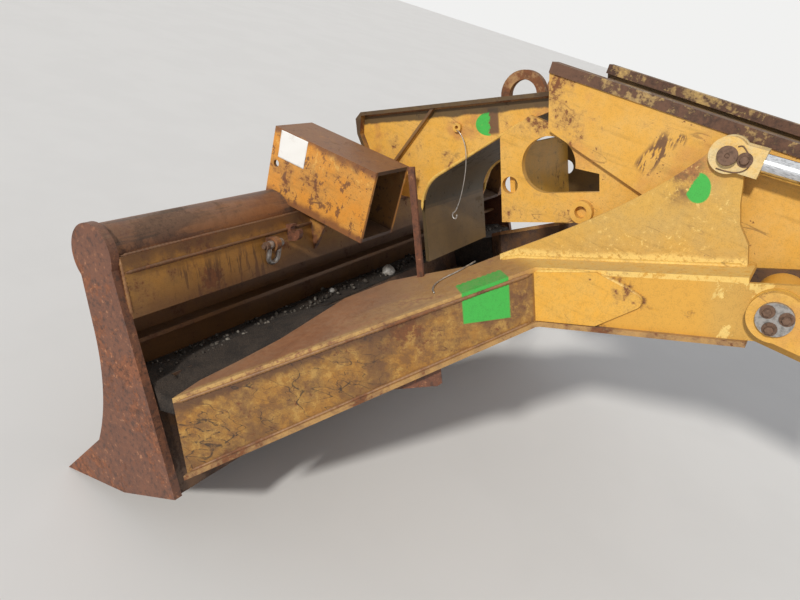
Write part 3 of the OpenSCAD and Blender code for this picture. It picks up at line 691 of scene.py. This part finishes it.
def soil(name):
    """Dark soil with paler grit; its darkness is partly painted shade."""
    f = Finish(name)
    crumbs = f.cells(210.0)
    broad = f.noise(14.0, 6.0, 0.7)
    fine = f.noise(170.0, 6.0, 0.75)
    tone = f.mix((0.012, 0.009, 0.007), (0.050, 0.036, 0.026), (broad * 0.5 + fine * 0.5).rise(0.38, 0.62))
    tone = f.mix(tone, (0.20, 0.165, 0.125), crumbs.rise(0.22, 0.08) * fine.rise(0.50, 0.60) * 0.8)
    return f.close(tone, 0.92, 0.0, fine * 0.6 - crumbs * 0.4, 0.8, 0.004)


def stone(name, dark, light):
    """Field stones, each with its own tone."""
    f = Finish(name)
    broad = f.noise(60.0, 2.0, 0.5)
    fine = f.noise(420.0, 4.0, 0.7)
    tone = f.mix(dark, light, broad.rise(0.46, 0.72))
    tone = f.mix(tone, (0.10, 0.08, 0.06), fine.rise(0.58, 0.70) * 0.5)
    return f.close(tone, 0.85, 0.0, fine, 0.4, 0.001)


def paper(name):
    """White paper, a little soiled and cockled."""
    f = Finish(name)
    broad = f.noise(26.0, 3.0, 0.5)
    fine = f.noise(300.0, 3.0, 0.6)
    tone = f.mix((0.80, 0.79, 0.76), (0.62, 0.58, 0.52), (broad * 0.7 + fine * 0.3).rise(0.52, 0.66) * 0.6)
    return f.close(tone, 0.72, 0.0, broad + fine * 0.1, 0.3, 0.002)


# The looks, and the CAD nodes that wear them

looks = {
    "nose": weathered("nose paint", YELLOW, PALE_YELLOW, bare=0.578, chips=0.606, dust=0.30,
                      marks=nose_marks),
    "side": weathered("side plate paint", YELLOW, PALE_YELLOW, bare=0.590, chips=0.600, dust=0.30,
                      marks=side_marks),
    "tie ring": weathered("tie ring paint", (0.420, 0.240, 0.090), (0.300, 0.150, 0.060), bare=0.510,
                          chips=0.560, dust=0.30),
    "ear": weathered("ear paint", (0.620, 0.360, 0.070), (0.560, 0.350, 0.095), bare=0.605, chips=0.622,
                     dust=0.30, marks=ear_marks, scratches=0.3),
    "tongue": weathered("tongue paint", (0.740, 0.370, 0.040), (0.700, 0.390, 0.070), bare=0.610,
                        chips=0.622, dust=0.20),
    "arm side": weathered("arm side paint", (0.360, 0.165, 0.028), (0.310, 0.170, 0.045), bare=0.556,
                          chips=0.588, dust=0.30, marks=arm_side_marks, scratches=1.0),
    "deck": weathered("deck rust", (0.330, 0.145, 0.065), (0.280, 0.130, 0.065), bare=0.575, chips=0.590,
                      dust=0.45, marks=deck_marks),
    "lip": weathered("sole paint", (0.460, 0.260, 0.085), (0.300, 0.170, 0.070), bare=0.545, chips=0.575,
                     dust=0.40),
    "push box": weathered("push box paint", (0.660, 0.270, 0.035), (0.600, 0.290, 0.060), bare=0.580,
                          chips=0.580, dust=0.30, marks=box_marks, scratches=0.8),
    "back": weathered("blade back paint", (0.400, 0.190, 0.040), (0.300, 0.155, 0.045), bare=0.560,
                      chips=0.585, dust=0.40, marks=back_marks),
    "end plate": weathered("end plate rust", (0.170, 0.066, 0.034), (0.120, 0.048, 0.028), bare=0.540,
                           chips=0.580, marks=rust_marks, rust=(DARK_RUST, (0.230, 0.085, 0.040))),
    "tube": weathered("tube rust", (0.140, 0.056, 0.028), (0.230, 0.095, 0.034), bare=0.520, chips=0.575,
                      dust=0.22, marks=tube_marks, rust=((0.040, 0.022, 0.016), (0.110, 0.050, 0.028))),
    # Rusty paint on the lower box and the arms' inner walls and roots, darkened further as painted shade
    "low": weathered("lower box", (0.130, 0.062, 0.026), (0.085, 0.046, 0.024), bare=0.505, chips=0.565,
                     dust=0.15, rust=((0.026, 0.016, 0.012), (0.070, 0.034, 0.020))),
    "cover": weathered("cover paint", (0.140, 0.062, 0.030), (0.560, 0.300, 0.060), bare=0.545,
                       chips=0.590, dust=0.40, marks=cover_marks),
    "pan": weathered("pan paint", (0.300, 0.165, 0.050), (0.200, 0.115, 0.045), bare=0.560, chips=0.590,
                     dust=0.30, marks=pan_marks, rust=((0.040, 0.026, 0.018), (0.110, 0.055, 0.028))),
    "rail": weathered("rail paint", (0.560, 0.370, 0.120), (0.360, 0.220, 0.080), bare=0.478, chips=0.530,
                      dust=0.30, rust=((0.055, 0.030, 0.021), (0.140, 0.070, 0.042))),
    "cylinder": weathered("cylinder paint", (0.800, 0.430, 0.050), (0.740, 0.450, 0.100), bare=0.600,
                          chips=0.620, dust=0.30),
    "fork": weathered("fork paint", (0.700, 0.560, 0.300), (0.780, 0.460, 0.090), bare=0.585, chips=0.610,
                      dust=0.30),
    "bead": weathered("weld bead", (0.300, 0.145, 0.045), (0.190, 0.090, 0.036), bare=0.540, chips=0.575,
                      dust=0.20),
    "bead dark": weathered("dark weld bead", (0.190, 0.090, 0.034), (0.110, 0.050, 0.024), bare=0.540,
                           chips=0.575, dust=0.20),
    "bead yellow": weathered("painted weld bead", (0.800, 0.530, 0.130), (0.680, 0.400, 0.080), bare=0.590,
                             chips=0.610, dust=0.20),
    "rod": steel("chrome rod", (0.80, 0.81, 0.83), 0.10, spots=0.12, streaks=(1.0, 1.0, 6.0)),
    "pin": steel("worn steel", (0.42, 0.40, 0.38), 0.42, metallic=0.9, spots=0.8),
    "bolt": steel("rusted bolt", (0.20, 0.12, 0.08), 0.62, metallic=0.5, spots=1.0),
    "wire": steel("drawn wire", (0.55, 0.52, 0.48), 0.34, metallic=0.9, spots=0.6),
    "edge": steel("cutting edge steel", (0.200, 0.120, 0.080), 0.55, metallic=0.5, spots=1.0),
    "dirt": soil("shelf dirt"),
    # The field stones' dark tone is partly painted shade
    "stone": stone("field stones", (0.045, 0.036, 0.028), (0.240, 0.215, 0.180)),
    "pale stone": stone("pale stones", (0.340, 0.320, 0.290), (0.620, 0.600, 0.560)),
    "paper": paper("blank label paper"),
}
# A name that ends in _ stands for a left node and a right one
nodes_by_look = {
    "back": ["mouldboard", "back_beam", "middle_rib"],
    "low": ["lower_box", "arm_inner_", "arm_root_"],
    "edge": ["cutting_edge"],
    "tube": ["top_tube", "box_gussets", "shackle_lug"],
    "end plate": ["end_plate_", "hook_lug", "marker_post"],
    "push box": ["push_box_"],
    "tongue": ["tongues", "pivot_bosses"],
    "ear": ["ear_"],
    "arm side": ["arm_outer_"],
    "deck": ["arm_top_"],
    "lip": ["arm_bottom_"],
    "side": ["frame_sides", "inner_plates", "side_eyes", "nose_bulkhead", "pad_eye", "pivot_tube",
             "pivot_brackets", "cylinder_anchors", "rear_plate"],
    "rail": ["top_rails"],
    "nose": ["nose_plates"],
    "cover": ["nose_cover"],
    "pan": ["nose_pan"],
    "tie ring": ["tie_rings"],
    "cylinder": ["barrel_"],
    "fork": ["fork_"],
    "rod": ["rod_"],
    "pin": ["pivot_pins", "shackle_bow"],
    "bolt": ["shackle_pin"],
}
for look, names in nodes_by_look.items():
    for name in names:
        for ending in ("left", "right") if name.endswith("_") else ("",):
            materials = nodes[name + ending].data.materials
            materials.clear()
            materials.append(looks[look])

# Weld beads


def beads(name, lines, body, look, slot, both=True, size=0.006):
    """Beads along lines given in the arms' frame, on both sides of the machine unless told otherwise."""
    parts = []
    for line in lines:
        parts.append(facing_out(*bead_arrays(on_arms(line), size)))
        if both:
            parts.append(facing_out(*bead_arrays(on_arms(mirrored(line)), size)))
    return make_piece(name, *join_arrays(parts), body, look, slot)


def splay_line(start, out, level, drop, shift):
    """A line along the splay, moved up by shift from a face that starts at level and falls by drop."""
    run = np.linspace(start, 1.015, 40)
    return np.stack([*on_splay(run, out), level - drop * run + shift], -1)


arm_lines = [splay_line(0.01, 0.0, DECK_TOP, DECK_DROP, -0.0155),
             splay_line(0.02, 0.001, SOLE, SOLE_DROP, 0.016)]
beads("arm welds", arm_lines, "blade", "bead", "worn_paint", size=0.0055)
tongue_edge = at_across([[0.588, -0.068], [0.420, -0.068], [0.330, -0.014], [0.300, 0.000], [0.310, 0.022],
                         [0.415, 0.077], [0.588, 0.069]], 0.468)
beads("tongue welds", [smooth_path(tongue_edge, 60)], "blade", "bead yellow", "ear_paint", size=0.007)
ear_run = np.linspace(0.080, 0.742, 50)
ear_lines = [np.stack([ear_run, np.full(50, seam), deck_height(ear_run, seam)], -1) for seam in EAR_SEAMS]
beads("ear welds", ear_lines, "blade", "bead yellow", "ear_paint", size=0.007)
back_lines = [[[BACK_ALONG - inset, -1.160, up], [BACK_ALONG - inset, 1.160, up]]
              for inset, up in ((0.006, 0.238), (0.013, 0.193))]
beads("blade back welds", back_lines, "blade", "bead dark", "worn_paint", both=False, size=0.0055)
end_lines = [at_across([[1.440, 0.072], [1.440, 0.232]], 1.164),
             at_across([[1.432, -0.118], [1.575, -0.118]], 1.164)]
beads("end plate welds", end_lines, "blade", "bead", "rusty_steel")
beads("cover welds", [at_across([[0.575, 0.5355], [1.285, 0.5355]], 0.238)], "nose", "bead", "nose_paint",
      size=0.005)
# The pan's seam: a straight slope from its rear, then round its front roll
pan_radius = 0.131
pan_turn = np.radians(np.linspace(65.1, 0.0, 26))
pan_roll = np.stack([0.956 + pan_radius * np.cos(pan_turn), 0.205 + pan_radius * np.sin(pan_turn)], -1)
pan_edge = at_across(np.concatenate([[[0.700, 0.472]], pan_roll]), 0.2385)
beads("pan welds", [pan_edge], "nose", "bead yellow", "nose_paint", size=0.005)

# Bolts, pin caps and keeper clips


def bolts(name, places, size, sign, body):
    """Rusted six-sided heads with washers at the places given, on a face that looks to the sign's side."""
    heads = join_arrays([bolt_arrays(place, size, sign) for place in places])
    make_piece(name, *heads, body, "bolt", "bare_steel", smooth=False)


cap_levels = [(0, 0), (0, 0.004), (0.0015, 0.0055), (0.0175, 0.0055), (0.0185, 0.002)]
clip_bends = [[0.012, -0.037], [-0.012, -0.036], [-0.036, -0.031], [-0.053, -0.016], [-0.053, 0.004],
              [-0.040, 0.018], [-0.026, 0.028], [-0.020, 0.031], [-0.012, 0.026]]
for side, sign in SIDES:
    rod = "rod_" + side
    bolts("keeper bolt " + side, [(0.7690, sign * 0.3780, 0.2790)], 0.0185, sign, rod)
    pin_heads = [(PIVOT_X + 0.024 * math.cos(turn), sign * 0.5210, 0.024 * math.sin(turn))
                 for turn in (0.5, 2.6, 4.7)]
    bolts("pivot pin bolts " + side, pin_heads, 0.017, sign, "nose")
    cap = ring_stack(regular(0.0235, 40), cap_levels, (LIFT_PIN[0], sign * 0.3895, LIFT_PIN[1]), sign)
    make_piece("lift pin cap " + side, *cap, rod, "bolt", "bare_steel", smooth=False)
    clip_path = smooth_path(at_across(np.add(clip_bends, LIFT_PIN), sign * 0.3795), 60)
    make_piece("keeper clip " + side, *tube_arrays(clip_path, 0.0015, 10), rod, "bolt", "bare_steel")

# The thin wire that hangs from the pad eye, with its hook
wire_frame = [[0.925, 0.252, 0.461], [0.921, 0.256, 0.462], [0.908, 0.257, 0.450], [0.897, 0.256, 0.420],
              [0.894, 0.256, 0.390], [0.898, 0.256, 0.345], [0.908, 0.256, 0.300], [0.926, 0.256, 0.245],
              [0.941, 0.256, 0.215]]
wire_path = smooth_path(on_arms(wire_frame), 36)
wire = make_piece("pad eye wire", *tube_arrays(wire_path, 0.0015, 10), "nose", "wire", "bare_steel")
hook_turn = np.linspace(0.0, 1.55 * math.pi, 30)
hook_bend = np.stack([0.9520 + 0.008 * np.sin(hook_turn), 0.1900 + 0.011 * np.cos(hook_turn)], -1)
hook_line = on_arms(at_across(np.concatenate([[[0.9400, 0.217], [0.9440, 0.210]], hook_bend]), 0.256))
hook = make_piece("wire hook", *tube_arrays(smooth_path(hook_line, 44), 0.0024, 10), "nose", "wire",
                  "bare_steel")

# A bent length of wire lying on the deck by the bar
stray = np.array([[0.836, 0.352], [0.846, 0.392], [0.856, 0.430], [0.880, 0.470], [0.888, 0.515],
                  [0.872, 0.560], [0.848, 0.590]])
stray_line = np.column_stack([stray, deck_height(stray[:, 0], stray[:, 1]) + 0.0030])
make_piece("stray wire", *tube_arrays(smooth_path(on_arms(stray_line), 50), 0.0027, 10), "blade", "wire",
           "bare_steel")

# A three-cornered wear plate under each arm, welded to the sole inside its lip, with its edges trimmed
skid_run = np.array([0.285, 0.452, 0.452, 0.420, 0.300, 0.285])
skid_drop = np.array([0.0, 0.0, 0.004, 0.016, 0.062, 0.060])
skid_levels = ((0.0, 0.0015), (0.0015, 0.0), (0.0085, 0.0), (0.010, 0.0015))
for side, sign in SIDES:
    rings = []
    for inward, trim in skid_levels:
        run = skid_run + np.sign(skid_run.mean() - skid_run) * trim
        drop = skid_drop + np.sign(skid_drop.mean() - skid_drop) * trim * (skid_drop > 0)
        along, across = on_splay(run, -0.018 - inward)
        rings.append(on_arms(np.stack([along, sign * across, SOLE - SOLE_DROP * run - drop + 0.0005], -1)))
    make_piece("sole skid " + side, np.concatenate(rings), capped_faces(len(rings), len(skid_run)), "blade",
               "end plate", "worn_paint", smooth=False)

# The blank paper label, on the push box's outer wall: one corner lifts, and the rest is slightly cockled
label_width, label_height, label_thickness = 0.115, 0.092, 0.0004
over, up = np.meshgrid(np.linspace(0, 1, 25), np.linspace(0, 1, 21), indexing="ij")
lifted = 0.0018 * np.clip(over - 0.82, 0, 1) * 5 * up
cockled = 0.0005 * np.sin(over * 9 + up * 4) * np.sin(up * 7)
label_front = np.stack([1.951 + label_width * over, 0.5109 + lifted + cockled,
                        -0.184 + label_height * up], -1)
label = sheet_arrays(label_front, label_front - [0.0, label_thickness, 0.0])
make_piece("paper label", *label, "blade", "paper", "worn_paint")

# Dirt and stones on the shelf and the ledges
lump_turns = np.random.default_rng(3).uniform(0, 6.28, (9, 2))


def lumps(along, across):
    """A bumpy height: nine sines of growing pitch and falling size, each turned a different way."""
    total = np.zeros(np.shape(along))
    for k, (turn, start) in enumerate(lump_turns):
        pitch = 9.0 * 1.55 ** k
        total += np.sin(pitch * (along * np.cos(turn) + across * np.sin(turn)) + start) / 1.45 ** k
    return 0.008 * total / 3.0


def shelf_floor(along):
    """The ledge's top behind the lower box and the shelf's top over it, less a skin's thickness."""
    return np.where(along < 1.424, -0.1985, -0.1225)


def dirt_band(across, rear, rear_top):
    """A heap's cross-section, flat below and bumpy above, carried along the blade.

    Its top starts at rear_top and falls to the blade's foot: a shrinking share of rear_top, plus a fall.
    """
    steps = np.linspace(0, 1, 26)
    knots = [0, 0.35, 0.62, 0.9, 1.0]
    share = np.interp(steps, knots, [1, 0.55, 0, 0, 0])
    fall = np.interp(steps, knots, [0, -0.050, -0.100, -0.108, -0.112])
    taper = np.minimum(1.0, (steps + 0.02) * 8) * np.minimum(1.0, (1.04 - steps) * 8)
    along = rear[:, None] + (1.574 - rear[:, None]) * steps
    spread = np.broadcast_to(across[:, None], along.shape)
    floor = shelf_floor(along)
    top = np.maximum(rear_top[:, None] * share + fall + lumps(along, spread) * taper, floor + 0.004)
    upper = np.stack([along, spread, top], -1)
    lower = np.stack([along, spread, floor], -1)[:, ::-1]
    rows = np.concatenate([upper, lower], 1)
    return on_arms(rows).reshape(-1, 3), capped_faces(*rows.shape[:2])


# The arm root's front wall, across and along
wall_line = np.array([[0.545, 1.221], [0.831, 1.249], [0.957, 1.291], [1.068, 1.338], [1.160, 1.341]])
heap_across = np.linspace(0.552, 1.158, 90)
heap_rear = np.interp(heap_across, wall_line[:, 0], wall_line[:, 1]) + 0.001
heap_top = np.maximum(deck_height(heap_rear, heap_across) - 0.016, -0.16)
side_heap = dirt_band(heap_across, heap_rear, heap_top)
middle_heap = dirt_band(np.linspace(-0.552, 0.552, 120), np.full(120, 1.431), np.full(120, -0.112))
heaps = [side_heap, (mirrored(side_heap[0]), side_heap[1]), middle_heap]
make_piece("shelf dirt", *join_arrays([facing_out(*heap) for heap in heaps]), "blade", "dirt", "worn_paint")


def pebble_arrays(along, across, size, rng):
    """Rounded stones: a coarse ball, squeezed and dented at random, half sunk in the dirt."""
    rings, sides = 5, 8
    lat, lon = np.meshgrid(np.linspace(0.25, math.pi - 0.25, rings),
                           np.linspace(0, 2 * math.pi, sides, endpoint=False), indexing="ij")
    ball = np.stack([np.sin(lat) * np.cos(lon), np.sin(lat) * np.sin(lon), np.cos(lat)], -1).reshape(-1, 3)
    place = np.stack([along, across, -0.104 + lumps(along, across) + size * 0.1], -1)
    squeeze = rng.uniform(0.6, 1.3, (len(size), 1, 3)) * size[:, None, None]
    dents = 1 + rng.uniform(-0.16, 0.16, (len(size), len(ball), 1))
    pebbles = on_arms(place[:, None] + ball * dents * squeeze)
    return join_arrays([(pebble, capped_faces(rings, sides)) for pebble in pebbles])


stone_count = 420
rng = np.random.default_rng(11)
stones_across = rng.uniform(-1.12, 1.12, stone_count)
stones_along = rng.uniform(1.445, 1.560, stone_count)
stones_size = 0.0025 + 0.0070 * rng.uniform(0.0, 1.0, stone_count) ** 3.0
stones = pebble_arrays(stones_along, stones_across, stones_size, rng)
make_piece("shelf stones", *stones, "blade", "stone", "worn_paint")
pale = pebble_arrays(np.array([1.462, 1.502]), np.array([-0.045, 0.286]), np.array([0.024, 0.015]), rng)
make_piece("pale stones", *pale, "blade", "pale stone", "worn_paint")

# Floor
floor_z = cad_box[0][2]
floor_corners = [(-20, -20, floor_z), (22, -20, floor_z), (22, 20, floor_z), (-20, 20, floor_z)]
floor_mesh = bpy.data.meshes.new("floor")
floor_mesh.from_pydata(floor_corners, [], [(0, 1, 2, 3)])
floor = bpy.data.objects.new("floor", floor_mesh)
bpy.context.scene.collection.objects.link(floor)
floor_finish = Finish("floor")
clouds = floor_finish.noise(1.5, 3.0).rise(0.4, 0.6)
floor_tone = floor_finish.mix((0.760, 0.750, 0.730), (0.745, 0.735, 0.715), clouds)
floor_mesh.materials.append(floor_finish.close(floor_tone, 0.9))

# World: soft light on the object, and a pale background where the camera or a glossy face sees it
world = bpy.data.worlds.new("studio")
bpy.context.scene.world = world
world.use_nodes = True
tree = world.node_tree
base = tree.nodes["Background"]
base.inputs["Color"].default_value = (0.93, 0.95, 1.0, 1.0)
base.inputs["Strength"].default_value = 0.46
shown = tree.nodes.new("ShaderNodeBackground")
shown.inputs["Color"].default_value = (0.88, 0.88, 0.87, 1.0)
shown.inputs["Strength"].default_value = 1.0
rays = tree.nodes.new("ShaderNodeLightPath")
either = tree.nodes.new("ShaderNodeMath")
either.operation = "MAXIMUM"
tree.links.new(rays.outputs["Is Camera Ray"], either.inputs[0])
tree.links.new(rays.outputs["Is Glossy Ray"], either.inputs[1])
blend = tree.nodes.new("ShaderNodeMixShader")
tree.links.new(either.outputs[0], blend.inputs[0])
tree.links.new(base.outputs[0], blend.inputs[1])
tree.links.new(shown.outputs[0], blend.inputs[2])
tree.links.new(blend.outputs[0], tree.nodes["World Output"].inputs["Surface"])

# Sun, about 32 degrees high, from the machine's left
sun_from = Vector((0.02, 0.85, 0.53))
sun_data = bpy.data.lights.new("key", "SUN")
sun_data.energy = 2.7
sun_data.angle = 0.08
sun_data.color = (1.0, 0.97, 0.92)
sun = bpy.data.objects.new("key", sun_data)
bpy.context.scene.collection.objects.link(sun)
sun.rotation_mode = "QUATERNION"
sun.rotation_quaternion = sun_from.to_track_quat("Z", "Y")
bpy.context.scene.view_settings.view_transform = "Standard"
